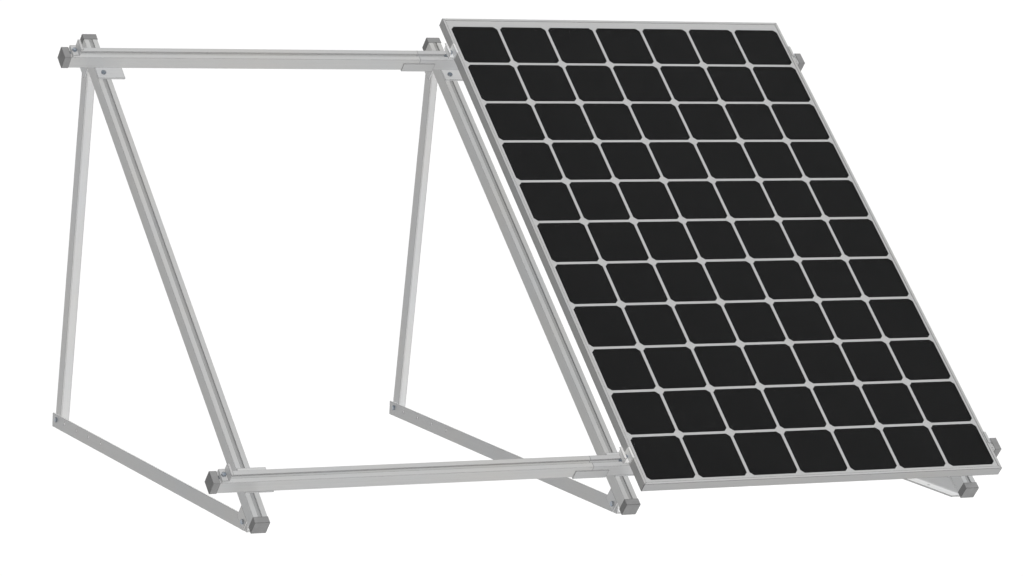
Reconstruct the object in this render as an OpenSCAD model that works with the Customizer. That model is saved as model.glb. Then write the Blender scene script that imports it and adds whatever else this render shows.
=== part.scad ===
// Tilted mounting frame for solar panels, with one panel clamped in its right-hand bay.
// Three bolted triangles carry two slotted cross rails, and clamps on the rails hold the panel.
// X runs along the cross rails, Y from the low front to the high back, and Z is up from the ground.

/* [Frame layout] */
// Angle between the sloping rails and the ground, in degrees
tilt = 38.6; // [34:0.1:44]
// Distance from each triangle to the next
bay_pitch = 1075; // [1040:5:1100]
// Overall length of a sloping rail, with its caps
slope_len = 1790; // [1700:10:1850]
// Distance from a sloping rail's end to the outer face of the cross rail
cross_inset = 100; // [95:1:160]
// How far the cross rails run past the outer triangles, with their caps
cross_overhang = 100; // [95:1:160]
// Distance from the joint in a cross rail to the middle triangle
joint_setback = 80; // [60:1:200]

/* [Rail section] */
// Width and height of the slotted rails
rail_size = 40; // [38:1:46]
// Thickness of the rail's walls
rail_wall = 2; // [1.6:0.1:2.5]
// Radius of the rail's outer corners
rail_corner = 1; // [0.5:0.1:1.5]
// Width of the slot's mouth
slot_mouth = 10; // [9:0.5:12]
// Thickness of the lips beside the slot's mouth
slot_lip = 3; // [2:0.5:4]
// Width of the channel behind the lips
slot_width = 20; // [18:0.5:22]
// Depth of the channel's floor below the rail's face
slot_depth = 10; // [9:0.5:12]

/* [End caps] */
// Length of an end cap
cap_len = 20; // [15:1:30]
// Thickness of the cap's sleeve around the rail
cap_wall = 1.2; // [1:0.1:2]
// Thickness of the cap's closed end
cap_end = 2; // [1.5:0.5:4]

/* [Base angles] */
// Length of a base angle
base_len = 1480; // [1420:10:1600]
// Width of each flange of the base angle
base_flange = 40; // [38:1:50]
// Thickness of the base angle
base_t = 4; // [3:0.5:5]
// Height of the bolt holes above the ground
base_hole_h = 25; // [24:0.5:28]
// Distance from the front bolt to the base's front end
base_front_edge = 15; // [12:1:30]
// Distance from the rear bolt to the base's rear end
base_rear_edge = 34; // [20:1:80]
// Distance from the rear end to the first spare tilt hole, and between the spare holes
tilt_hole_pitch = 100; // [80:5:120]
// Number of spare tilt holes
tilt_holes = 4; // [1:1:6]
// Distance from each end of the base to its anchor hole
anchor_inset = 150; // [100:5:250]
// Radius inside the corner of the base angles, struts and brackets
root = 4; // [3:0.5:5]

/* [Rear struts] */
// Width of each flange of the strut
strut_flange = 40; // [36:1:50]
// Thickness of the strut
strut_t = 4; // [3:0.5:5]
// Outside diameter of the spacer ring between strut and bracket
spacer_d = 16; // [14:0.5:20]
// Clearance between the brackets and the ends of the struts and base angles below them
trim_gap = 1; // [0.5:0.1:2]

/* [Rail brackets] */
// Width of each leg of a rail bracket
bracket_leg = 40; // [38:1:48]
// Thickness of a rail bracket
bracket_t = 5; // [4:0.5:6]
// Length of a rail bracket along the rail
bracket_len = 50; // [45:1:70]
// Distance from the bracket's ends to its holes
bracket_edge = 12.5; // [10:0.5:15]
// Distance from the rail's lower end to the foot bracket
foot_inset = 42.5; // [40:0.5:45]
// Distance from the rail's upper end to the top bracket
top_inset = 45; // [40:1:80]

/* [Connector plates] */
// Width of a connector plate along the cross rail
plate_w = 80; // [75:1:100]
// Length of a connector plate up the slope
plate_len = 80; // [70:1:100]
// Thickness of a connector plate
plate_t = 5; // [4:0.5:8]

/* [Splices] */
// Length of a splice angle
splice_len = 100; // [80:2:110]
// Thickness of a splice angle
splice_t = 3; // [2:0.5:4]
// Height of the splice's upright leg
splice_upright = 30; // [24:1:36]
// Width of the splice's leg under the rail
splice_under = 40; // [32:1:42]

/* [Clamps] */
// Thickness of the clamps
clamp_t = 3; // [2:0.5:4]
// Length of a clamp up the slope
clamp_len = 40; // [30:1:60]
// Reach of a clamp's lip past its upright
clamp_lip = 5; // [3:0.5:8]
// Clearance between a clamp's upright and the panel's side
clamp_gap = 0.5; // [0.2:0.1:1]
// Distance from the rail's cap to a left-hand end clamp
end_clamp_inset = 3; // [1:0.5:40]
// Width of an end clamp from its foot to its upright
end_clamp_w = 21; // [19:0.5:26]
// Height of an end clamp's flat above the rail
end_clamp_h = 9; // [8:0.5:10]
// Outside width of a mid clamp's channel
mid_clamp_w = 22; // [22:0.5:28]
// Gap between a mid clamp's channel and the rail
mid_clamp_lift = 8; // [4:0.5:9]
// Distance from the middle rail's left face to the mid clamp's centre
mid_clamp_offset = 17; // [10:0.5:30]

/* [Bolts and nuts] */
// Bolt diameter
bolt_d = 8; // [7:0.5:8.5]
// Width across the flats of bolt heads and nuts
hex_af = 13; // [12:0.5:13.5]
// Height of a bolt's head
head_h = 5.3; // [4:0.1:6.4]
// Height of a hexagon nut
nut_h = 6.5; // [5:0.1:8]
// Length of bolt that stands out of a hexagon nut
bolt_proud = 2.5; // [1:0.5:4]
// Extra diameter of the holes that bolts pass through
hole_play = 1; // [0.4:0.1:1.6]
// Clearance around the bolt in a nut
thread_gap = 0.1; // [0.05:0.05:0.2]
// Length of a slot nut along its rail
slot_nut_len = 20; // [18:0.5:26]
// Thickness of a slot nut's body behind the lips
slot_nut_t = 5; // [4:0.5:5.5]
// Clearance between a slot nut and the sides of its slot
slot_play = 0.25; // [0.1:0.05:0.5]
// Clearance between a bolt's tip and the slot's floor
tip_gap = 1; // [0.5:0.1:1.5]

/* [Solar panel] */
// Width of the panel across the slope
panel_w = 1134; // [1090:1:1145]
// Length of the panel up the slope
panel_len = 1788; // [1700:1:1860]
// Thickness of the panel's frame
panel_t = 28; // [25:1:35]
// Height of the panel's lower edge above the sloping rails' lower ends
panel_inset = 9; // [0:1:40]
// Width of the frame's lip over the glass
frame_lip = 8; // [6:0.5:10]
// Thickness of the frame's lip and ledge
frame_lip_t = 1.5; // [1:0.1:2]
// Thickness of the frame's outer wall
frame_wall = 2; // [1.5:0.1:2.5]
// Width of the frame's bottom flange
frame_flange = 25; // [20:1:32]
// Width of a mounting slot in the bottom flange
mount_slot_w = 9; // [7:0.5:10]
// Length of a mounting slot
mount_slot_len = 14; // [12:0.5:18]
// Distance from the panel's lower and upper edges to the mounting slots on its long sides
mount_slot_inset = 350; // [250:10:450]
// Distance between the two slots of a pair
mount_slot_pitch = 200; // [150:10:300]
// Thickness of the glass
glass_t = 3.2; // [2:0.1:4]
// Thickness of a solar cell
cell_t = 0.3; // [0.2:0.05:0.5]
// Thickness of the backsheet
backsheet_t = 0.5; // [0.3:0.1:1]
// Side of a square solar cell
cell_size = 150; // [140:1:154]
// Distance from one cell to the next
cell_pitch = 159; // [156:0.5:160]
// Length cut from each side at a cell's corners
cell_corner = 10.5; // [6:0.5:20]
// Number of cells across the panel
cell_columns = 7; // [5:1:7]
// Number of cells up the panel
cell_rows = 11; // [8:1:11]
// Distance from the panel's left side to the first cell
cell_left = 18.5; // [14:0.5:22]
// Distance from the panel's lower edge to the first cell
cell_bottom = 19; // [14:0.5:30]

/* [Junction box] */
// Width of the junction box on the panel's back
jbox_w = 110; // [80:1:140]
// Length of the junction box up the slope
jbox_len = 80; // [60:1:100]
// Depth of the junction box
jbox_t = 18; // [14:1:20]
// Distance from the panel's upper edge to the junction box
jbox_inset = 220; // [200:5:320]
// Radius of the junction box's corners
jbox_corner = 6; // [3:0.5:10]
// Outside diameter of a cable gland
gland_d = 12; // [10:0.5:13]
// Length of a cable gland
gland_len = 14; // [10:1:20]
// Diameter of the cable's way into a gland
gland_bore_d = 6; // [5:0.5:7]

/* [Hidden] */
$fn = 48;
// Overlap that lets a cut pass clean through a face
slack = 1;

sides = ["left", "middle", "right"];
tiers = ["lower", "upper"];

hole_r = (bolt_d + hole_play) / 2;
nut_bore_r = bolt_d / 2 + thread_gap;
rail_mid = rail_size / 2;

// Heights above the sloping rails' outer faces
cross_floor = plate_t;
seat_n = plate_t + rail_size;
panel_top = seat_n + panel_t;

// Places up the slope
lower_u = cross_inset;
upper_u = slope_len - cross_inset - rail_size;
tier_u = [lower_u, upper_u];
plate_u = [lower_u, upper_u + rail_size - plate_len];
plate_free_u = [lower_u + (rail_size + plate_len) / 2, upper_u + (rail_size - plate_len) / 2];
foot_u = foot_inset;
top_u = slope_len - top_inset - bracket_len;
foot_bolt_u = foot_u + bracket_edge;
top_bolt_u = top_u + bracket_len - bracket_edge;
bracket_bolt_n = -rail_size - bracket_leg / 2;
trim_n = -rail_size - bracket_t - trim_gap;

// Places along the cross rails
last_x = 2 * bay_pitch + rail_size;
cross_start = -cross_overhang;
cross_stop = last_x + cross_overhang;
joint_x = bay_pitch - joint_setback;
mid_clamp_x = bay_pitch + mid_clamp_offset;
panel_x = mid_clamp_x + mid_clamp_w / 2 + clamp_gap;

// Heights and depths on the ground, from the two bolts that close each triangle
slope_base = base_hole_h - foot_bolt_u * sin(tilt) - bracket_bolt_n * cos(tilt);
foot_bolt_y = foot_bolt_u * cos(tilt) - bracket_bolt_n * sin(tilt);
top_bolt_y = top_bolt_u * cos(tilt) - bracket_bolt_n * sin(tilt);
top_bolt_z = top_bolt_u * sin(tilt) + bracket_bolt_n * cos(tilt) + slope_base;
base_y = foot_bolt_y - base_front_edge;
rear_bolt_y = base_y + base_len - base_rear_edge;

// The strut's outer face stands beside the base's upright flange
base_x = bracket_t;
strut_x = base_x + base_t;
strut_lean = atan2(rear_bolt_y - top_bolt_y, top_bolt_z - base_hole_h);
strut_span = norm([rear_bolt_y - top_bolt_y, top_bolt_z - base_hole_h]);
strut_room = base_hole_h - base_t - root - trim_gap;
strut_end = (strut_room - strut_flange / 2 * abs(sin(strut_lean))) / cos(strut_lean);

// The model's origin is on the ground, under the middle of its overall box
front_y = min(panel_inset * cos(tilt) - panel_top * sin(tilt), -cap_wall * sin(tilt));
back_y = max(base_y + base_len, (panel_inset + panel_len) * cos(tilt) - seat_n * sin(tilt));
mid_y = (front_y + back_y) / 2;
mid_x = last_x / 2;

// Panel build-up
laminate_t = glass_t + cell_t + backsheet_t;
glass_top = panel_t - frame_lip_t;
inner_w = panel_w - 2 * frame_wall;
inner_len = panel_len - 2 * frame_wall;

triangle_parts = [
    "sloping_rail", "rail_foot_cap", "rail_top_cap", "base_angle", "rear_strut", "foot_bracket",
    "top_bracket"
];
tier_parts = [
    "cross_rail_left", "cross_rail_right", "cross_cap_left", "cross_cap_right", "splice",
    "plate_left", "plate_middle", "plate_right", "end_clamp_left", "end_clamp_right", "mid_clamp"
];

// Ground frame: X, Y and height above the ground
module on_ground() {
    translate([-mid_x, -mid_y, 0]) children();
}

// Slope frame: X, distance up the sloping rails and height above their outer faces
module on_slope() {
    on_ground() translate([0, 0, slope_base]) rotate([tilt, 0, 0]) children();
}

// Moves a left-hand piece to its triangle; the right-hand triangle is the mirror image
module at_triangle(i) {
    translate([i * bay_pitch, 0, 0])
        if (i == 2) translate([rail_size, 0, 0]) mirror([1, 0, 0]) children();
        else children();
}

// Runs a section drawn in X and height along the second axis
module run_up(start, length) {
    translate([0, start + length, 0]) rotate([90, 0, 0]) linear_extrude(length) children();
}

// Runs a section drawn in the second axis and height along X
module run_across(start, length) {
    translate([start, 0, 0]) rotate([90, 0, 90]) linear_extrude(length) children();
}

// A hole along X
module hole_along_x(x, length) {
    translate([x - slack, 0, 0]) rotate([0, 90, 0]) cylinder(r = hole_r, h = length + 2 * slack);
}

module rounded_rect(w, h, r) {
    translate([r, 0]) square([w - 2 * r, h]);
    translate([0, r]) square([w, h - 2 * r]);
    for (x = [r, w - r]) for (y = [r, h - r]) translate([x, y]) circle(r);
}

// Slot opening at height 0 and going down: the mouth, and the wider channel behind its lips
module slot_section() {
    translate([-slot_mouth / 2, -slot_lip - slack]) square([slot_mouth, slot_lip + 2 * slack]);
    translate([-slot_width / 2, -slot_depth]) square([slot_width, slot_depth - slot_lip]);
}

// The walls that box in one slot
module slot_housing() {
    translate([-slot_width / 2 - rail_wall, -slot_depth - rail_wall])
        square([slot_width + 2 * rail_wall, slot_depth + rail_wall]);
}

// Rail section: slots in the top and bottom faces, one H-shaped hollow between them
module rail_section() {
    difference() {
        translate([-rail_mid, -rail_size]) rounded_rect(rail_size, rail_size, rail_corner);
        difference() {
            translate([-rail_mid + rail_wall, -rail_size + slot_lip])
                square([rail_size - 2 * rail_wall, rail_size - 2 * slot_lip]);
            slot_housing();
            translate([0, -rail_size]) mirror([0, 1]) slot_housing();
        }
        slot_section();
        translate([0, -rail_size]) mirror([0, 1]) slot_section();
    }
}

// Rolled angle with its heel at the origin and a rounded root
module angle_section(w, h, t) {
    square([w, t]);
    square([t, h]);
    translate([t, t]) difference() {
        square(root);
        translate([root, root]) circle(root);
    }
}

module sloping_rail(i) {
    color("gainsboro") on_slope() at_triangle(i)
        run_up(cap_end, slope_len - 2 * cap_end) translate([rail_mid, 0]) rail_section();
}

module cross_rail(tier, start, stop) {
    color("gainsboro") on_slope() translate([0, tier_u[tier], cross_floor])
        run_across(start, stop - start) translate([rail_mid, rail_size]) rail_section();
}

// Sleeve cap with its closed end at 0 and its mouth towards +Z, centred on the rail
module end_cap() {
    size = rail_size + 2 * cap_wall;
    difference() {
        translate([-size / 2, -size / 2]) linear_extrude(cap_len)
            rounded_rect(size, size, cap_wall);
        translate([-rail_mid, -rail_mid, cap_end]) cube([rail_size, rail_size, cap_len]);
    }
}

module sloping_cap(i, upper) {
    color("dimgray") on_slope() at_triangle(i)
        translate([rail_mid, upper ? slope_len : 0, -rail_mid]) rotate([upper ? 90 : -90, 0, 0])
            end_cap();
}

module cross_cap(tier, right) {
    color("dimgray") on_slope()
        translate([right ? cross_stop : cross_start, tier_u[tier] + rail_mid, cross_floor + rail_mid])
            rotate([0, right ? -90 : 90, 0]) end_cap();
}

// Everything above the plane that clears the brackets' undersides, in the ground frame
module above_brackets() {
    reach = slope_len + base_len;
    translate([0, 0, slope_base]) rotate([tilt, 0, 0])
        translate([-reach / 2, -reach / 2, trim_n]) cube([reach, 2 * reach, reach]);
}

module base_angle(i) {
    spare = [for (k = [1:tilt_holes]) base_y + base_len - k * tilt_hole_pitch];
    color("lightgray") on_ground() at_triangle(i) difference() {
        translate([base_x, 0, 0]) run_up(base_y, base_len)
            angle_section(base_flange, base_flange, base_t);
        for (y = concat([foot_bolt_y, rear_bolt_y], spare))
            translate([0, y, base_hole_h]) hole_along_x(base_x, base_t);
        for (y = [base_y + anchor_inset, base_y + base_len - anchor_inset])
            translate([base_x + (base_t + base_flange) / 2, y, -slack])
                cylinder(r = hole_r, h = base_t + 2 * slack);
        above_brackets();
    }
}

// Strut frame: the rear bolt at the origin and the strut's length along Z
module on_strut() {
    translate([0, rear_bolt_y, base_hole_h]) rotate([strut_lean, 0, 0]) children();
}

module rear_strut(i) {
    color("lightgray") on_ground() at_triangle(i) difference() {
        on_strut() translate([strut_x, strut_flange / 2, -strut_end]) mirror([0, 1, 0])
            linear_extrude(strut_end + strut_span + 2 * strut_flange)
                mirror([1, -1]) angle_section(strut_flange, strut_flange, strut_t);
        for (s = [0, strut_span])
            on_strut() translate([0, 0, s]) hole_along_x(strut_x, strut_t);
        above_brackets();
    }
}

module rail_bracket(i, start, side_hole_u, slot_hole_u) {
    color("silver") on_slope() at_triangle(i) difference() {
        run_up(start, bracket_len) translate([0, -rail_size]) mirror([0, 1])
            angle_section(bracket_leg, bracket_leg, bracket_t);
        translate([0, side_hole_u, bracket_bolt_n]) hole_along_x(0, bracket_t);
        translate([rail_mid, slot_hole_u, -rail_size - bracket_t - slack])
            cylinder(r = hole_r, h = bracket_t + 2 * slack);
    }
}

foot_slot_u = foot_u + bracket_len - bracket_edge;
top_slot_u = top_u + bracket_edge;
plate_side_x = (rail_size + plate_w) / 2;

module connector_plate(i, tier) {
    color("silver") on_slope() at_triangle(i) difference() {
        translate([0, plate_u[tier], 0]) cube([plate_w, plate_len, plate_t]);
        translate([rail_mid, plate_free_u[tier], -slack]) cylinder(r = hole_r, h = plate_t + 2 * slack);
        translate([plate_side_x, tier_u[tier] + rail_mid, -slack])
            cylinder(r = hole_r, h = plate_t + 2 * slack);
    }
}

splice_bolt_x = [joint_x - splice_len / 4, joint_x + splice_len / 4];

module splice(tier) {
    color("darkgray") on_slope() translate([0, tier_u[tier], cross_floor - splice_t]) difference() {
        translate([0, -splice_t, 0]) {
            run_across(joint_x - splice_len / 2, splice_len) square([splice_t, splice_upright]);
            run_across(joint_x - splice_len / 2, splice_len) square([splice_under, splice_t]);
        }
        for (x = splice_bolt_x) translate([x, rail_mid, -slack])
            cylinder(r = hole_r, h = splice_t + 2 * slack);
    }
}

// Clamps are drawn in X and height above the rail, centred up the slope on the rail
module clamp_body(tier, x) {
    color("silver") on_slope() translate([x, tier_u[tier] + rail_mid - clamp_len / 2, seat_n])
        children();
}

end_clamp_bolt_x = (end_clamp_w - clamp_t) / 2;

// End clamp with its foot at X = 0 and the face towards the panel at X = end_clamp_w
module end_clamp_shape() {
    difference() {
        run_up(0, clamp_len) {
            square([clamp_t, end_clamp_h]);
            translate([0, end_clamp_h - clamp_t]) square([end_clamp_w, clamp_t]);
            translate([end_clamp_w - clamp_t, end_clamp_h - clamp_t])
                square([clamp_t, panel_t + 2 * clamp_t - end_clamp_h]);
            translate([end_clamp_w - clamp_t, panel_t]) square([clamp_t + clamp_lip, clamp_t]);
        }
        translate([end_clamp_bolt_x, clamp_len / 2, end_clamp_h - clamp_t - slack])
            cylinder(r = hole_r, h = clamp_t + 2 * slack);
    }
}

left_clamp_x = cross_start + cap_len + end_clamp_inset;
right_clamp_x = panel_x + panel_w + clamp_gap + end_clamp_w;

module end_clamp(tier, right) {
    clamp_body(tier, right ? right_clamp_x : left_clamp_x) mirror([right ? 1 : 0, 0, 0])
        end_clamp_shape();
}

module mid_clamp(tier) {
    wall_h = panel_t + clamp_t - mid_clamp_lift;
    clamp_body(tier, mid_clamp_x) difference() {
        run_up(0, clamp_len) {
            translate([-mid_clamp_w / 2, mid_clamp_lift]) square([mid_clamp_w, clamp_t]);
            for (side = [0, 1]) mirror([side, 0]) {
                translate([mid_clamp_w / 2 - clamp_t, mid_clamp_lift]) square([clamp_t, wall_h]);
                translate([mid_clamp_w / 2 - clamp_t, panel_t]) square([clamp_t + clamp_lip, clamp_t]);
            }
        }
        translate([0, clamp_len / 2, mid_clamp_lift - slack])
            cylinder(r = hole_r, h = clamp_t + 2 * slack);
    }
}

// Hexagon with its far corners turned off, as on a forged head or nut
module hexagon(h) {
    corner_r = hex_af / sqrt(3);
    flat_r = hex_af / 2 * 0.95;
    intersection() {
        cylinder(r = corner_r, h = h, $fn = 6);
        rotate_extrude() polygon([
            [0, 0], [corner_r, 0], [corner_r, h - (corner_r - flat_r) / 2], [flat_r, h], [0, h]
        ]);
    }
}

// Bolt with the underside of its head at 0, head up and shank down
module bolt(shank) {
    hexagon(head_h);
    translate([0, 0, -shank]) cylinder(d = bolt_d, h = shank);
}

// Bolt through a seat of this thickness into the slot behind it
module slot_bolt(seat) {
    translate([0, 0, seat]) bolt(seat + slot_depth - tip_gap);
}

// Places that take a bolt into a slot: centre on the rail's face, facing up or down, nut's turn
plate_slots = [
    for (i = [0:2]) for (t = [0, 1]) each [
        [i, [rail_mid, plate_free_u[t], 0], 0, 90],
        [i, [plate_side_x, tier_u[t] + rail_mid, cross_floor], 180, 0]
    ]
];
bracket_slots = [
    for (i = [0:2]) for (u = [foot_slot_u, top_slot_u]) [i, [rail_mid, u, -rail_size], 180, 90]
];
splice_slots = [
    for (t = [0, 1]) for (x = splice_bolt_x) [0, [x, tier_u[t] + rail_mid, cross_floor], 180, 0]
];
end_clamp_slots = [
    for (t = [0, 1]) for (x = [left_clamp_x + end_clamp_bolt_x, right_clamp_x - end_clamp_bolt_x])
        [0, [x, tier_u[t] + rail_mid, seat_n], 0, 0]
];
mid_clamp_slots = [for (t = [0, 1]) [0, [mid_clamp_x, tier_u[t] + rail_mid, seat_n], 0, 0]];

// Puts a piece at every place in a list of slot places
module at_slots(places) {
    for (p = places) on_slope() at_triangle(p[0]) translate(p[1]) rotate([p[2], 0, 0])
        rotate([0, 0, p[3]]) children();
}

module slot_bolts() {
    color("lightslategray") {
        at_slots(plate_slots) slot_bolt(plate_t);
        at_slots(bracket_slots) slot_bolt(bracket_t);
    }
}

module splice_bolts() {
    color("lightslategray") at_slots(splice_slots) slot_bolt(splice_t);
}

module clamp_bolts() {
    color("lightslategray") {
        at_slots(end_clamp_slots) slot_bolt(end_clamp_h);
        at_slots(mid_clamp_slots) slot_bolt(mid_clamp_lift + clamp_t);
    }
}

// Slot nut hung behind the lips, its neck guided by the slot's mouth, with the rail's face at 0
module slot_nut() {
    body_w = slot_width - 2 * slot_play;
    neck_w = slot_mouth - 2 * slot_play;
    difference() {
        translate([-slot_nut_len / 2, 0, 0]) run_across(0, slot_nut_len) {
            translate([-body_w / 2, -slot_lip - slot_nut_t]) square([body_w, slot_nut_t]);
            translate([-neck_w / 2, -slot_lip - slot_nut_t])
                square([neck_w, slot_lip + slot_nut_t - slot_play]);
        }
        translate([0, 0, -slot_depth]) cylinder(r = nut_bore_r, h = slot_depth + slack);
    }
}

module slot_nuts() {
    color("slategray")
        at_slots(concat(plate_slots, bracket_slots, splice_slots, end_clamp_slots, mid_clamp_slots))
            slot_nut();
}

// The bolts that close a triangle: distance along Y, height, thickness clamped and first face
frame_joints = [
    [foot_bolt_y, base_hole_h, base_x + base_t, 0],
    [rear_bolt_y, base_hole_h, base_t + strut_t, base_x],
    [top_bolt_y, top_bolt_z, strut_x + strut_t, 0]
];

module at_frame_joints() {
    for (i = [0:2]) for (j = frame_joints) on_ground() at_triangle(i)
        translate([j[3], j[0], j[1]]) rotate([0, -90, 0]) {
            $grip = j[2];
            children();
        }
}

module frame_bolts() {
    color("lightslategray") at_frame_joints() bolt($grip + nut_h + bolt_proud);
}

module frame_nuts() {
    color("lightslategray") at_frame_joints() translate([0, 0, -$grip]) mirror([0, 0, 1])
        difference() {
            hexagon(nut_h);
            translate([0, 0, -slack]) cylinder(r = nut_bore_r, h = nut_h + 2 * slack);
        }
}

module spacer_rings() {
    color("silver") for (i = [0:2]) on_ground() at_triangle(i)
        translate([bracket_t, top_bolt_y, top_bolt_z]) rotate([0, 90, 0]) difference() {
            cylinder(d = spacer_d, h = base_t);
            translate([0, 0, -slack]) cylinder(r = hole_r, h = base_t + 2 * slack);
        }
}

// Panel frame: lower left back corner at the origin
module on_panel() {
    on_slope() translate([panel_x, panel_inset, seat_n]) children();
}

// Frame section: outer wall, bottom flange, and a groove that holds the laminate's edge
module frame_section() {
    square([frame_wall, panel_t]);
    square([frame_flange, frame_wall]);
    translate([0, glass_top]) square([frame_lip, frame_lip_t]);
    translate([0, glass_top - laminate_t - frame_lip_t]) square([frame_lip, frame_lip_t]);
}

// Slots in the bottom flange of a long side, clear of the laminate's ledge
module mount_slots(length) {
    bend = (mount_slot_len - mount_slot_w) / 2;
    near = mount_slot_inset;
    far = mount_slot_inset + mount_slot_pitch;
    for (x = [near, far, length - far, length - near])
        translate([x, (frame_wall + frame_flange) / 2, -slack]) hull()
            for (end = [-bend, bend]) translate([end, 0, 0])
                cylinder(d = mount_slot_w, h = frame_wall + 2 * slack);
}

// One side of the frame along X, with mitred ends
module frame_side(length) {
    intersection() {
        run_across(0, length) frame_section();
        linear_extrude(panel_t) polygon([
            [0, 0], [length, 0], [length - frame_flange, frame_flange], [frame_flange, frame_flange]
        ]);
    }
}

module panel_frame_lower() {
    color("gainsboro") on_panel() frame_side(panel_w);
}

module panel_frame_upper() {
    color("gainsboro") on_panel() translate([0, panel_len, 0]) mirror([0, 1, 0]) frame_side(panel_w);
}

module long_frame_side() {
    mirror([1, -1, 0]) difference() {
        frame_side(panel_len);
        mount_slots(panel_len);
    }
}

module panel_frame_left() {
    color("gainsboro") on_panel() long_frame_side();
}

module panel_frame_right() {
    color("gainsboro") on_panel() translate([panel_w, 0, 0]) mirror([1, 0, 0]) long_frame_side();
}

// A sheet that fills the frame's groove
module sheet(bottom, t) {
    on_panel() translate([frame_wall, frame_wall, bottom]) cube([inner_w, inner_len, t]);
}

module panel_glass() {
    color("whitesmoke", 0.4) sheet(glass_top - glass_t, glass_t);
}

module panel_backsheet() {
    color("gainsboro") sheet(glass_top - laminate_t, backsheet_t);
}

module solar_cell() {
    c = cell_corner;
    s = cell_size;
    linear_extrude(cell_t) polygon([
        [c, 0], [s - c, 0], [s, c], [s, s - c], [s - c, s], [c, s], [0, s - c], [0, c]
    ]);
}

module solar_cells() {
    color("black") on_panel() translate([cell_left, cell_bottom, glass_top - glass_t - cell_t])
        for (column = [0:cell_columns - 1]) for (row = [0:cell_rows - 1])
            translate([column * cell_pitch, row * cell_pitch, 0]) solar_cell();
}

// Junction box under the backsheet, with two glands towards the panel's lower edge
module junction_box() {
    gland_x = [jbox_w / 4, 3 * jbox_w / 4];
    color("dimgray") on_panel()
        translate([(panel_w - jbox_w) / 2, panel_len - jbox_inset, glass_top - laminate_t - jbox_t])
            difference() {
                union() {
                    linear_extrude(jbox_t) rounded_rect(jbox_w, jbox_len, jbox_corner);
                    for (x = gland_x) translate([x, slack, jbox_t / 2]) rotate([90, 0, 0])
                        cylinder(d = gland_d, h = gland_len + slack);
                }
                for (x = gland_x) translate([x, 0, jbox_t / 2]) rotate([90, 0, 0])
                    cylinder(d = gland_bore_d, h = gland_len + slack);
            }
}

for (i = [0:2]) {
    sloping_rail(i);
    sloping_cap(i, false);
    sloping_cap(i, true);
    base_angle(i);
    rear_strut(i);
    rail_bracket(i, foot_u, foot_bolt_u, foot_slot_u);
    rail_bracket(i, top_u, top_bolt_u, top_slot_u);
}
for (t = [0, 1]) {
    cross_rail(t, cross_start + cap_end, joint_x);
    cross_rail(t, joint_x, cross_stop - cap_end);
    cross_cap(t, false);
    cross_cap(t, true);
    splice(t);
    for (i = [0:2])
        connector_plate(i, t);
    end_clamp(t, false);
    end_clamp(t, true);
    mid_clamp(t);
}
slot_bolts();
splice_bolts();
clamp_bolts();
slot_nuts();
frame_bolts();
frame_nuts();
spacer_rings();
panel_frame_left();
panel_frame_right();
panel_frame_lower();
panel_frame_upper();
panel_glass();
solar_cells();
panel_backsheet();
junction_box();
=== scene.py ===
import math

import bmesh
import bpy
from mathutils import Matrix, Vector


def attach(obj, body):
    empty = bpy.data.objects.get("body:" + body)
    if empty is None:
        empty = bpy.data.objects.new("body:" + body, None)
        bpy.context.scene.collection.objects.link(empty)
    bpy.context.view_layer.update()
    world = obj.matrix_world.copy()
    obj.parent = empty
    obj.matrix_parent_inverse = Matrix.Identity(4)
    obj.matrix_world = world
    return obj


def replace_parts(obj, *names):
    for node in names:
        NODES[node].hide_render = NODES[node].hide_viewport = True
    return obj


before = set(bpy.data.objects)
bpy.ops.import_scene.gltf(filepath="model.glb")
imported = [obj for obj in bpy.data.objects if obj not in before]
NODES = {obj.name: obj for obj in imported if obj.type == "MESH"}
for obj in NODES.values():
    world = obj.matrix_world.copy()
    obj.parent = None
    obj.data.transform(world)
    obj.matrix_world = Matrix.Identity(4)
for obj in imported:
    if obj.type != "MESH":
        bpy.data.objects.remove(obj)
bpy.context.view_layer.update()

SIDES = ("left", "middle", "right")
TIERS = ("lower", "upper")


def run_of(name):
    """Direction of a node's longest straight edge, pointing upwards."""
    mesh = NODES[name].data
    ends = [[mesh.vertices[i].co for i in edge.vertices] for edge in mesh.edges]
    run = max((b - a for a, b in ends), key=lambda v: v.length)
    return run if run.z > 0 else -run


# Slope of the rails from level, and lean of the rear struts from upright
rail_run, strut_run = run_of("left_sloping_rail"), run_of("left_rear_strut")
TILT = math.atan2(rail_run.z, rail_run.y)
STRUT_LEAN = math.atan2(-strut_run.y, strut_run.z)

# Directions up the slope and square to it
ALONG = Vector((0, math.cos(TILT), math.sin(TILT)))
UP = Vector((0, -math.sin(TILT), math.cos(TILT)))

# Rotation that brings object coordinates into line with the slope
ON_SLOPE = (-TILT, 0, 0)


# ---------------------------------------------------------------- materials
def grey(level):
    return (level, level, level)


def scaled(color, factors):
    return tuple(c * k for c, k in zip(color, factors))


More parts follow.
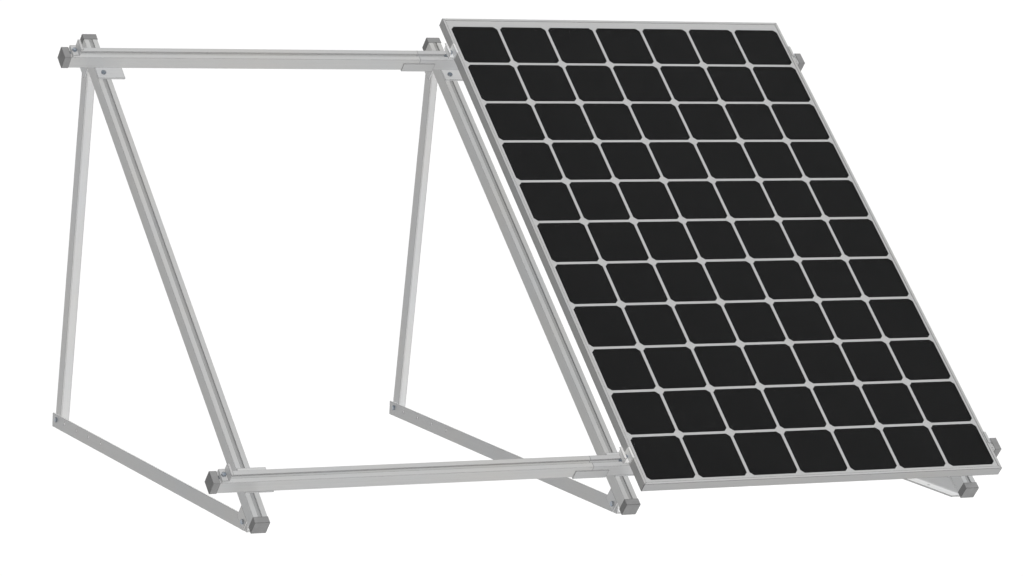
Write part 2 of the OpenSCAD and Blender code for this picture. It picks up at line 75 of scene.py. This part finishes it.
class Graph:
    """A material's node tree, with short calls for the nodes used here."""

    def __init__(self, name):
        self.mat = bpy.data.materials.new(name)
        self.mat.use_nodes = True
        self.tree = self.mat.node_tree
        self.tree.nodes.clear()
        self.out = self.tree.nodes.new("ShaderNodeOutputMaterial")

    def node(self, kind, **props):
        n = self.tree.nodes.new("ShaderNode" + kind)
        for key, value in props.items():
            setattr(n, key, value)
        return n

    def link(self, a, b):
        self.tree.links.new(a, b)

    def feed(self, value, socket):
        """Links a node's output to a socket, or sets the socket to a plain value."""
        if hasattr(value, "is_linked"):
            self.link(value, socket)
        elif socket.type == "RGBA":
            socket.default_value = (*value, 1)
        else:
            socket.default_value = value

    def coords(self, rotation=(0, 0, 0), scale=(1, 1, 1), place=(0, 0, 0)):
        """Object coordinates, turned into a piece's own frame and then scaled."""
        tex = self.node("TexCoord")
        turn = self.node("Mapping", vector_type="POINT")
        turn.inputs["Location"].default_value = place
        turn.inputs["Rotation"].default_value = rotation
        self.link(tex.outputs["Object"], turn.inputs["Vector"])
        grow = self.node("Mapping", vector_type="POINT")
        grow.inputs["Scale"].default_value = scale
        self.link(turn.outputs["Vector"], grow.inputs["Vector"])
        return grow.outputs["Vector"]

    def noise(self, vector, scale=1.0, detail=3.0, rough=0.5):
        n = self.node("TexNoise")
        n.inputs["Scale"].default_value = scale
        n.inputs["Detail"].default_value = detail
        n.inputs["Roughness"].default_value = rough
        self.link(vector, n.inputs["Vector"])
        return n.outputs["Fac"]

    def spread(self, value, low, high, from_low=0.3, from_high=0.7):
        """Maps from_low..from_high, the span that most noise fills, to low..high."""
        n = self.node("MapRange")
        n.inputs["From Min"].default_value = from_low
        n.inputs["From Max"].default_value = from_high
        n.inputs["To Min"].default_value = low
        n.inputs["To Max"].default_value = high
        self.link(value, n.inputs["Value"])
        return n.outputs["Result"]

    def mix(self, factor, a, b):
        n = self.node("Mix", data_type="RGBA")
        self.feed(factor, n.inputs["Factor"])
        self.feed(a, n.inputs["A"])
        self.feed(b, n.inputs["B"])
        return n.outputs["Result"]

    def multiply(self, a, b):
        """Multiplies a colour by a grey value."""
        n = self.node("Mix", data_type="RGBA", blend_type="MULTIPLY")
        n.inputs["Factor"].default_value = 1.0
        self.link(a, n.inputs["A"])
        self.link(b, n.inputs["B"])
        return n.outputs["Result"]

    def math(self, op, a, b=0.0):
        n = self.node("Math", operation=op)
        self.feed(a, n.inputs[0])
        self.feed(b, n.inputs[1])
        return n.outputs["Value"]

    def blend(self, a, b, share):
        """share of a, and the rest of b."""
        return self.math("ADD", self.math("MULTIPLY", a, share),
                         self.math("MULTIPLY", b, 1 - share))

    def face_normal(self):
        return self.node("NewGeometry").outputs["Normal"]

    def dot(self, a, b):
        n = self.node("VectorMath", operation="DOT_PRODUCT")
        self.feed(a, n.inputs[0])
        self.feed(b, n.inputs[1])
        return n.outputs["Value"]

    def split(self, vector):
        n = self.node("SeparateXYZ")
        self.link(vector, n.inputs["Vector"])
        return n.outputs

    def painted_edge_shade(self, color, amount, radius=0.0026):
        """Painted shade: darkens a colour along the edges, where the rounded normal turns away.

        It starts where the two normals are 6 degrees apart and is full at 28 degrees.
        """
        bevel = self.node("Bevel", samples=6)
        bevel.inputs["Radius"].default_value = radius
        turned = self.dot(bevel.outputs["Normal"], self.face_normal())
        on_edge = self.spread(turned, 0.0, 1.0, 0.995, 0.88)
        return self.multiply(color, self.spread(on_edge, 1.0, 1.0 - amount, 0.0, 1.0))

    def bump(self, height, strength, distance):
        n = self.node("Bump")
        n.inputs["Strength"].default_value = strength
        n.inputs["Distance"].default_value = distance
        self.link(height, n.inputs["Height"])
        return n.outputs["Normal"]

    def surface(self, color, roughness, normal=None, **fixed):
        p = self.node("BsdfPrincipled")
        self.link(color, p.inputs["Base Color"])
        self.feed(roughness, p.inputs["Roughness"])
        if normal is not None:
            self.link(normal, p.inputs["Normal"])
        for key, value in fixed.items():
            p.inputs[key.replace("_", " ")].default_value = value
        self.link(p.outputs["BSDF"], self.out.inputs["Surface"])
        return self.mat


# Noise scales that draw fine lines along each axis
FINE, LONG = 620.0, 4.0
GRAIN = {"x": (LONG, FINE, FINE), "y": (FINE, LONG, FINE), "z": (FINE, FINE, LONG)}


def metal(name, color, axis, turn=0.0, seed=0.0, metallic=0.15, rough=(0.38, 0.52),
          streak=0.05, gloss=0.5, wall_shading=1.0, slot_shade=1.0, level=1.0):
    """Drawn or extruded aluminium: fine lines along the piece, cloudy tone, tiny scuffs and
    painted shade along the edges.

    axis and turn give the way that the piece was drawn.
    wall_shading paints light or shade on the faces that don't lie along the slope, next to those
    that do.
    slot_shade paints shade onto the floor and inner faces of a narrow slot.
    level paints light on the faces that look straight up.
    """
    g = Graph(name)
    turn = (turn, 0, 0)
    lines = g.noise(g.coords(turn, GRAIN[axis], grey(seed)), 1.0, 4.0, 0.6)
    clouds = g.noise(g.coords(turn, place=(seed, 0, 0)), 5.0, 4.0, 0.55)
    scuffs = g.noise(g.coords(turn, place=(0, seed, 0)), 90.0, 5.0, 0.65)
    warm = scaled(color, (1.012, 1.002, 0.985))
    cool = scaled(color, (0.986, 0.998, 1.012))
    base = g.mix(g.spread(clouds, 0.0, 1.0), cool, warm)
    base = g.multiply(base, g.spread(lines, 1.0 - streak, 1.0 + streak, 0.25, 0.75))
    base = g.multiply(base, g.spread(scuffs, 1.0, 0.93, 0.62, 0.78))
    # Painted shade along the edges
    base = g.painted_edge_shade(base, 0.8)
    # Painted shade in narrow slots and recesses, from ambient occlusion
    if slot_shade != 1.0:
        slot_occlusion = g.node("AmbientOcclusion", samples=8, only_local=True)
        slot_occlusion.inputs["Distance"].default_value = 0.020
        base = g.multiply(base, g.spread(slot_occlusion.outputs["AO"], slot_shade, 1.0, 0.2, 0.85))
    # Painted light or shade on the faces that don't lie along the slope
    if wall_shading != 1.0:
        facing = g.dot(g.face_normal(), UP)
        base = g.multiply(base, g.spread(facing, wall_shading, 1.0, 0.5, 0.9))
    # Painted light on the faces that look straight up
    if level != 1.0:
        facing = g.split(g.face_normal())["Z"]
        base = g.multiply(base, g.spread(facing, 1.0, level, 0.85, 0.97))
    dull = g.spread(g.blend(lines, scuffs, 0.6), *rough)
    return g.surface(base, dull, g.bump(lines, 0.12, 0.0004), Metallic=metallic,
                     Specular_IOR_Level=gloss)


def plastic(name, color, side_shade=1.0):
    """Moulded plastic: fine spark-eroded grain, a little uneven gloss and painted shade along the
    edges.

    side_shade paints shade on the faces to the left and right.
    """
    g = Graph(name)
    grit = g.noise(g.coords(), 1400.0, 2.0, 0.5)
    clouds = g.noise(g.coords(), 30.0, 3.0, 0.5)
    base = g.mix(g.spread(clouds, 0.0, 1.0), scaled(color, grey(0.9)), scaled(color, grey(1.12)))
    # Painted shade along the edges
    base = g.painted_edge_shade(base, 0.75)
    # Painted shade on the faces to the left and right
    if side_shade != 1.0:
        facing = g.math("ABSOLUTE", g.split(g.face_normal())["X"])
        base = g.multiply(base, g.spread(facing, 1.0, side_shade, 0.5, 0.9))
    return g.surface(base, g.spread(clouds, 0.45, 0.6), g.bump(grit, 0.25, 0.0003),
                     Specular_IOR_Level=0.25)


def zinc(name, color, rim):
    """Zinc-plated steel: blue passivated tone that shifts, a satin gloss, and painted shade at
    the rim that leaves a painted highlight in the middle.
    """
    g = Graph(name)
    clouds = g.noise(g.coords(), 120.0, 4.0, 0.6)
    grit = g.noise(g.coords(), 900.0, 3.0, 0.6)
    blue = scaled(color, (0.80, 0.96, 1.14))
    pale = scaled(color, (1.25, 1.18, 1.1))
    # Painted shade at the rim, with a painted highlight left in the middle
    base = g.painted_edge_shade(g.mix(g.spread(clouds, 0.0, 1.0), blue, pale), 0.85, rim)
    return g.surface(base, g.spread(grit, 0.2, 0.36), g.bump(grit, 0.15, 0.0003), Metallic=0.8)


def film():
    """Backsheet film: pale grey with a faint weave."""
    g = Graph("backsheet_grey")
    fine, long = 900, 60
    weave = g.noise(g.coords(ON_SLOPE, (fine, long, fine)), 1.0, 2.0, 0.5)
    cross = g.noise(g.coords(ON_SLOPE, (long, fine, fine)), 1.0, 2.0, 0.5)
    both = g.blend(weave, cross, 0.5)
    base = g.mix(g.spread(both, 0.0, 1.0), grey(0.535), grey(0.565))
    return g.surface(base, 0.6, g.bump(both, 0.1, 0.0002))


# A cell's width, the step from cell to cell, the cut at its corners and the step from
# finger to finger, in metres
CELL, PITCH, CHAMFER, FINGER_STEP = 0.150, 0.159, 0.0105, 0.0025
# Where the first cell starts across the panel and up the slope
cell_points = [v.co for v in NODES["solar_cells"].data.vertices]
CELLS_X = min(p.x for p in cell_points)
CELLS_U = min(p.dot(ALONG) for p in cell_points)


def silicon():
    """Cells: black silicon with hair-thin fingers up the slope and a blacker rim."""
    g = Graph("cell_silicon")
    grain = g.noise(g.coords(ON_SLOPE), 7.0, 4.0, 0.6)
    at = g.split(g.coords(ON_SLOPE, place=(-CELLS_X, -CELLS_U, 0)))
    reach = []
    for axis in ("X", "Y"):
        inside = g.math("FLOORED_MODULO", at[axis], PITCH)
        reach.append(g.math("MINIMUM", inside, g.math("SUBTRACT", CELL, inside)))
    cut = g.math("SUBTRACT", g.math("ADD", *reach), CHAMFER)
    rim = g.math("MINIMUM", g.math("MINIMUM", *reach), g.math("MULTIPLY", cut, 0.7071))
    wave = g.math("SINE", g.math("MULTIPLY", at["X"], math.pi / FINGER_STEP))
    fingers = g.spread(g.math("ABSOLUTE", wave), 0.25, 0.0, 0.0, 0.25)
    body = g.mix(g.spread(grain, 0.0, 1.0), (0.0068, 0.0068, 0.0070), (0.0084, 0.0084, 0.0086))
    lined = g.mix(fingers, body, grey(0.0135))
    base = g.mix(g.spread(rim, 1.0, 0.0, 0.0012, 0.0030), lined, grey(0.002))
    return g.surface(base, 0.55, Specular_IOR_Level=0.05)


def glass():
    """Matte solar glass that only veils what lies under it."""
    g = Graph("solar_glass")
    dimples = g.noise(g.coords(ON_SLOPE), 700.0, 2.0, 0.5)
    tint = g.mix(g.spread(dimples, 0.0, 1.0), (0.02, 0.022, 0.022), (0.03, 0.032, 0.032))
    return g.surface(tint, g.spread(dimples, 0.2, 0.3), g.bump(dimples, 0.01, 0.0002),
                     Alpha=0.05, Specular_IOR_Level=0.06)


# ---------------------------------------------------------------- the frame's own pieces
def dress(material, *names):
    for name in names:
        for slot in NODES[name].material_slots:
            slot.material = material


def each(places, *kinds):
    """Names such as left_rear_strut, for every place and kind."""
    return [place + "_" + kind for place in places for kind in kinds]


# The clamps are glossier than the rails, and the panel frame is finer drawn and duller
CLAMP_ROUGH = (0.3, 0.42)
ANODISED = {"metallic": 0.1, "streak": 0.03, "gloss": 0.25}

# The rails get painted shade in their slots
dress(metal("rail_along_slope", (0.50, 0.50, 0.497), "y", -TILT, seed=1.0, slot_shade=0.65),
      *each(SIDES, "sloping_rail"))
dress(metal("rail_left_piece", (0.505, 0.504, 0.50), "x", -TILT, seed=2.0, slot_shade=0.86),
      *each(TIERS, "cross_rail_left"))
dress(metal("rail_right_piece", (0.478, 0.479, 0.482), "x", -TILT, seed=3.0, slot_shade=0.86),
      *each(TIERS, "cross_rail_right"))
# The base angles get painted light on their tops
dress(metal("base_angle_metal", grey(0.50), "y", seed=4.0, level=1.42),
      *each(SIDES, "base_angle"))
dress(metal("strut_metal", grey(0.552), "z", -STRUT_LEAN, seed=5.0),
      *each(SIDES, "rear_strut"))
dress(metal("bracket_metal", grey(0.545), "x", -TILT, seed=6.0),
      *each(SIDES, "foot_bracket", "top_bracket"),
      *each(TIERS, "plate_left", "plate_middle", "plate_right"), "spacer_rings")
dress(metal("splice_metal", (0.445, 0.447, 0.45), "x", -TILT, seed=7.0),
      *each(TIERS, "splice"))
# The end clamps get painted light on the faces that don't lie along the slope
dress(metal("end_clamp_metal", grey(0.49), "y", -TILT, seed=8.0, rough=CLAMP_ROUGH, wall_shading=1.15),
      *each(TIERS, "end_clamp_left", "end_clamp_right"))
dress(metal("mid_clamp_metal", grey(0.70), "y", -TILT, seed=8.5, rough=CLAMP_ROUGH),
      *each(TIERS, "mid_clamp"))
# The caps get painted shade on their left and right faces
dress(plastic("cap_grey", grey(0.259), side_shade=0.63),
      *each(SIDES, "rail_foot_cap", "rail_top_cap"),
      *each(TIERS, "cross_cap_left", "cross_cap_right"))
# The bolts' wider rim of painted shade leaves a painted highlight in the middle of each head
bolt_zinc = zinc("zinc_bolts", (0.29, 0.31, 0.335), 0.0018)
dress(bolt_zinc, "slot_bolts", "splice_bolts", "clamp_bolts", "frame_bolts")
dress(zinc("zinc_nuts", (0.27, 0.29, 0.31), 0.0010), "slot_nuts", "frame_nuts")
# The panel frame gets painted shade on the faces that don't lie along the slope
dress(metal("frame_across", grey(0.49), "x", -TILT, seed=9.0, wall_shading=0.83, **ANODISED),
      "panel_frame_lower", "panel_frame_upper")
dress(metal("frame_up", grey(0.475), "y", -TILT, seed=10.0, wall_shading=0.69, **ANODISED),
      "panel_frame_left", "panel_frame_right")
box_plastic = plastic("box_black", grey(0.03))
dress(box_plastic, "junction_box")
dress(film(), "panel_backsheet")
dress(silicon(), "solar_cells")


# ---------------------------------------------------------------- extra pieces
def add_piece(name, mesh, material):
    """Puts a mesh into the scene as a piece that rides on the frame."""
    mesh.materials.clear()
    mesh.materials.append(material)
    o = bpy.data.objects.new(name, mesh)
    bpy.context.scene.collection.objects.link(o)
    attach(o, "root")
    return o


def build(name, bm, material):
    """Turns a finished bmesh into a piece."""
    bmesh.ops.recalc_face_normals(bm, faces=bm.faces)
    mesh = bpy.data.meshes.new(name)
    bm.to_mesh(mesh)
    bm.free()
    add_piece(name, mesh, material)


def skin(bm, loops, closed=False):
    """Joins loops of points, each as long as the next, and caps both ends."""
    rings = [[bm.verts.new(p) for p in loop] for loop in loops]
    pairs = list(zip(rings, rings[1:]))
    if closed:
        pairs.append((rings[-1], rings[0]))
    for a, b in pairs:
        for i in range(len(a)):
            j = (i + 1) % len(a)
            bm.faces.new((a[i], a[j], b[j], b[i]))
    if not closed:
        bm.faces.new(rings[0])
        bm.faces.new(rings[-1])


def solids(name):
    """The separate solids of a node, each as its lowest and highest corner."""
    bm = bmesh.new()
    bm.from_mesh(NODES[name].data)
    bmesh.ops.remove_doubles(bm, verts=bm.verts, dist=1e-6)
    left, found = set(bm.verts), []
    while left:
        stack, points = [left.pop()], []
        while stack:
            v = stack.pop()
            points.append(v.co.copy())
            for edge in v.link_edges:
                w = edge.other_vert(v)
                if w in left:
                    left.remove(w)
                    stack.append(w)
        found.append([Vector(f(p[k] for p in points) for k in range(3)) for f in (min, max)])
    bm.free()
    return found


def circle(radius, count=24):
    return [(radius * math.cos(math.tau * i / count), radius * math.sin(math.tau * i / count))
            for i in range(count)]


def rounded(half_x, half_u, radius, steps=6):
    """Outline of a rounded rectangle about its middle."""
    points = []
    for quarter, (sx, su) in enumerate(((1, 1), (-1, 1), (-1, -1), (1, -1))):
        for i in range(steps + 1):
            a = math.pi / 2 * (quarter + i / steps)
            points.append((sx * (half_x - radius) + radius * math.cos(a),
                           su * (half_u - radius) + radius * math.sin(a)))
    return points


def glass_sheet():
    """The glass, a hair clear of the cells under it so that no two faces share a plane."""
    clear = 0.0002
    old = NODES["panel_glass"].data
    heights = [v.co.dot(UP) for v in old.vertices]
    middle = (min(heights) + max(heights)) / 2
    mesh = old.copy()
    mesh.name = "glass_sheet"
    for v, h in zip(mesh.vertices, heights):
        if h < middle:
            v.co += UP * clear
    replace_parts(add_piece("glass_sheet", mesh, glass()), "panel_glass")


def bolt_threads():
    """Thread ridges on the bolt ends that stand out of the nuts, wound round x."""
    pitch, ridge, steps = 0.00125, 0.00035, 20
    radius, sunk, end = 0.004, 0.0002, 0.0004
    bm = bmesh.new()
    nuts = solids("frame_nuts")
    for low, high in solids("frame_bolts"):
        mid = (low + high) / 2
        nut = min(nuts, key=lambda n: ((n[0] + n[1]) / 2 - mid).length)
        start, stop = nut[1].x, high.x - end
        count = int((stop - start - pitch / 2) / pitch * steps)
        loops = []
        for i in range(count + 1):
            a, x = math.tau * i / steps, start + pitch * i / steps
            # The ridge runs out over a quarter turn at either end
            grow = min(1.0, 4 * i / steps, 4 * (count - i) / steps + 0.05)
            corners = ((0.0, -sunk), (pitch * 0.42, ridge * grow), (pitch * 0.84, -sunk))
            loops.append([Vector((x + dx, mid.y + (radius + dr) * math.cos(a),
                                  mid.z + (radius + dr) * math.sin(a))) for dx, dr in corners])
        skin(bm, loops)
    build("bolt_threads", bm, bolt_zinc)


class Box:
    """The junction box: its middle and half sizes, its lid's side n0 and its back n1 along UP."""

    def __init__(self):
        points = [v.co for v in NODES["junction_box"].data.vertices]
        x0, x1 = min(p.x for p in points), max(p.x for p in points)
        self.n0, self.n1 = min(p.dot(UP) for p in points), max(p.dot(UP) for p in points)
        # The glands stand out past the box, so the lid's side alone gives the length
        face = [p.dot(ALONG) for p in points if p.dot(UP) < self.n0 + 0.0001]
        u0, u1 = min(face), max(face)
        self.half_x, self.half_u = (x1 - x0) / 2, (u1 - u0) / 2
        self.mid_x, self.mid_u, self.mid_n = (x0 + x1) / 2, (u0 + u1) / 2, (self.n0 + self.n1) / 2
        glands = [p for p in points if p.dot(ALONG) < u0 - 0.001]
        self.gland_r = max(p.dot(UP) for p in glands) - self.mid_n

    def place(self, x, u, n):
        """A point x across and u up the slope from the box's middle, at n along UP."""
        return Vector((self.mid_x + x, 0, 0)) + ALONG * (self.mid_u + u) + UP * n


# How deep a piece on the junction box sinks into what carries it, and the lid's depth
SUNK, LID_DEPTH = 0.0003, 0.0018


def box_lid(box):
    lid = bmesh.new()
    inset, chamfer, corner = 0.003, 0.0006, 0.006
    steps = ((inset, box.n0 + SUNK), (inset, box.n0 - LID_DEPTH + chamfer),
             (inset + chamfer, box.n0 - LID_DEPTH))
    skin(lid, [[box.place(x, u, n)
                for x, u in rounded(box.half_x - i, box.half_u - i, corner - i / 2)]
               for i, n in steps])
    build("box_lid", lid, box_plastic)


def box_screws(box):
    """Four round heads, each a disc with two half rounds on it that leave the slot open."""
    screws = bmesh.new()
    from_edge, radius, rise, slot_half = 0.012, 0.003, 0.0011, 0.0004
    top = box.n0 - LID_DEPTH
    floor_n = top - rise / 3
    arc = [math.pi * i / 10 for i in range(11)]
    # Scale and height of a half round's outlines, from the slot's floor to the crown
    levels = ((0.999, floor_n + 0.0001), (0.999, top - rise * 0.7), (0.85, top - rise))
    for sx in (-1, 1):
        for su in (-1, 1):
            at_x, at_u = sx * (box.half_x - from_edge), su * (box.half_u - from_edge)
            skin(screws, [[box.place(at_x + x, at_u + u, n) for x, u in circle(radius)]
                          for n in (top + SUNK, floor_n)])
            for side in (-1, 1):
                half = [(radius * math.cos(a), side * max(radius * math.sin(a), slot_half))
                        for a in arc]
                skin(screws, [[box.place(at_x + x * k,
                                         at_u + (u * k if abs(u) > slot_half else u), n)
                               for x, u in half] for k, n in levels])
    build("box_screws", screws, bolt_zinc)


def gland_nuts(box):
    """A ribbed nut round each of the two cable glands."""
    nuts = bmesh.new()
    ribs, per_rib, rib_depth = 12, 4, 0.0004
    wall, length, gap = 0.0028, 0.007, 0.001
    inner, outer = box.gland_r - SUNK, box.gland_r + wall
    # Radius and distance from the box, round the nut's section
    section = ((inner, gap), (box.gland_r + wall * 0.7, gap), (outer, gap + 0.0008),
               (outer, gap + length - 0.0015), (box.gland_r + wall * 0.4, gap + length),
               (inner, gap + length))
    for at_x in (-box.half_x / 2, box.half_x / 2):
        loops = []
        for radius, back in section:
            ring = []
            for i in range(ribs * per_rib):
                a = math.tau * i / (ribs * per_rib)
                in_rib = i % per_rib < per_rib / 2 and radius > box.gland_r + wall / 2
                r = radius - (rib_depth if in_rib else 0.0)
                ring.append(box.place(at_x + r * math.cos(a), -box.half_u - back,
                                      box.mid_n + r * math.sin(a)))
            loops.append(ring)
        skin(nuts, loops, closed=True)
    build("gland_nuts", nuts, box_plastic)


glass_sheet()
bolt_threads()
junction_box = Box()
box_lid(junction_box)
box_screws(junction_box)
gland_nuts(junction_box)


# ---------------------------------------------------------------- floor, world and light
# The world's strength as light on the object, and as the white that is seen
WORLD_FILL, WORLD_SEEN = 0.12, 1.0
# The floor's grey towards the object, and its glow and grey where it is seen
FLOOR_LIT, FLOOR_GLOW, FLOOR_SEEN = 0.30, 0.5, 0.5
# Half the floor's side, and how far it lies under the ground plane, in metres
FLOOR_HALF, FLOOR_DROP = 40.0, 0.0005
# How much of the sky each lamp fills, in degrees
LAMP_ANGLE = 40


def background_rays(tree):
    """1 for the rays that should see the plain white background."""
    path = tree.nodes.new("ShaderNodeLightPath")
    total = path.outputs["Is Camera Ray"]
    for name in ("Is Glossy Ray", "Is Transmission Ray"):
        most = tree.nodes.new("ShaderNodeMath")
        most.operation = "MAXIMUM"
        tree.links.new(total, most.inputs[0])
        tree.links.new(path.outputs[name], most.inputs[1])
        total = most.outputs["Value"]
    return total


def light_or_seen(tree, lit, seen, out):
    """Gives the background rays one shader and all other rays another."""
    pick = tree.nodes.new("ShaderNodeMixShader")
    tree.links.new(background_rays(tree), pick.inputs["Fac"])
    tree.links.new(lit, pick.inputs[1])
    tree.links.new(seen, pick.inputs[2])
    tree.links.new(pick.outputs["Shader"], out.inputs["Surface"])


def studio_world():
    world = bpy.data.worlds.new("studio")
    bpy.context.scene.world = world
    world.use_nodes = True
    tree = world.node_tree
    tree.nodes.clear()
    whites = []
    for strength in (WORLD_FILL, WORLD_SEEN):
        white = tree.nodes.new("ShaderNodeBackground")
        white.inputs["Color"].default_value = (1, 1, 1, 1)
        white.inputs["Strength"].default_value = strength
        whites.append(white.outputs["Background"])
    light_or_seen(tree, *whites, tree.nodes.new("ShaderNodeOutputWorld"))


def studio_floor():
    mesh = bpy.data.meshes.new("floor")
    bm = bmesh.new()
    bmesh.ops.create_grid(bm, x_segments=1, y_segments=1, size=FLOOR_HALF)
    bm.to_mesh(mesh)
    bm.free()
    floor = bpy.data.objects.new("floor", mesh)
    floor.location = (0, 0, -FLOOR_DROP)
    bpy.context.scene.collection.objects.link(floor)
    g = Graph("floor_white")
    lit = g.node("BsdfDiffuse")
    lit.inputs["Color"].default_value = (*grey(FLOOR_LIT), 1)
    glow = g.node("Emission")
    glow.inputs["Strength"].default_value = FLOOR_GLOW
    soft = g.node("BsdfDiffuse")
    soft.inputs["Color"].default_value = (*grey(FLOOR_SEEN), 1)
    seen = g.node("AddShader")
    g.link(glow.outputs["Emission"], seen.inputs[0])
    g.link(soft.outputs["BSDF"], seen.inputs[1])
    light_or_seen(g.tree, lit.outputs["BSDF"], seen.outputs["Shader"], g.out)
    mesh.materials.append(g.mat)


def sun(name, towards, strength, fill=True):
    """A wide soft lamp. A fill casts no shadow and leaves no highlight."""
    light = bpy.data.lights.new(name, "SUN")
    light.energy = strength
    light.angle = math.radians(LAMP_ANGLE)
    light.use_shadow = not fill
    o = bpy.data.objects.new(name, light)
    o.visible_glossy = not fill
    o.rotation_euler = Vector(towards).to_track_quat("Z", "Y").to_euler()
    bpy.context.scene.collection.objects.link(o)


studio_world()
studio_floor()
sun("top_key", (0.0, 0.10, 0.995), 0.15, fill=False)
sun("front_fill", (-0.227, -0.966, 0.120), 2.84)
sun("top_fill", (0.0, 0.65, 0.76), 3.15)
sun("back_fill", (0.60, 0.74, -0.30), 1.2)


# ---------------------------------------------------------------- camera
# The photograph's viewing point in metres, angles in degrees and lens in millimetres
CAMERA_AT = (-4.9424, -9.8096, 2.1269)
CAMERA_TURN = (81.600, -2.9528, -26.2131)
LENS, SENSOR = 137.969, 36.0

cam = bpy.data.cameras.new("camera")
cam.sensor_width = SENSOR
cam.lens = LENS
cam.clip_end = 100.0
camera = bpy.data.objects.new("camera", cam)
camera.location = CAMERA_AT
camera.rotation_euler = [math.radians(a) for a in CAMERA_TURN]
bpy.context.scene.collection.objects.link(camera)
bpy.context.scene.camera = camera
bpy.context.scene.view_settings.view_transform = "Standard"
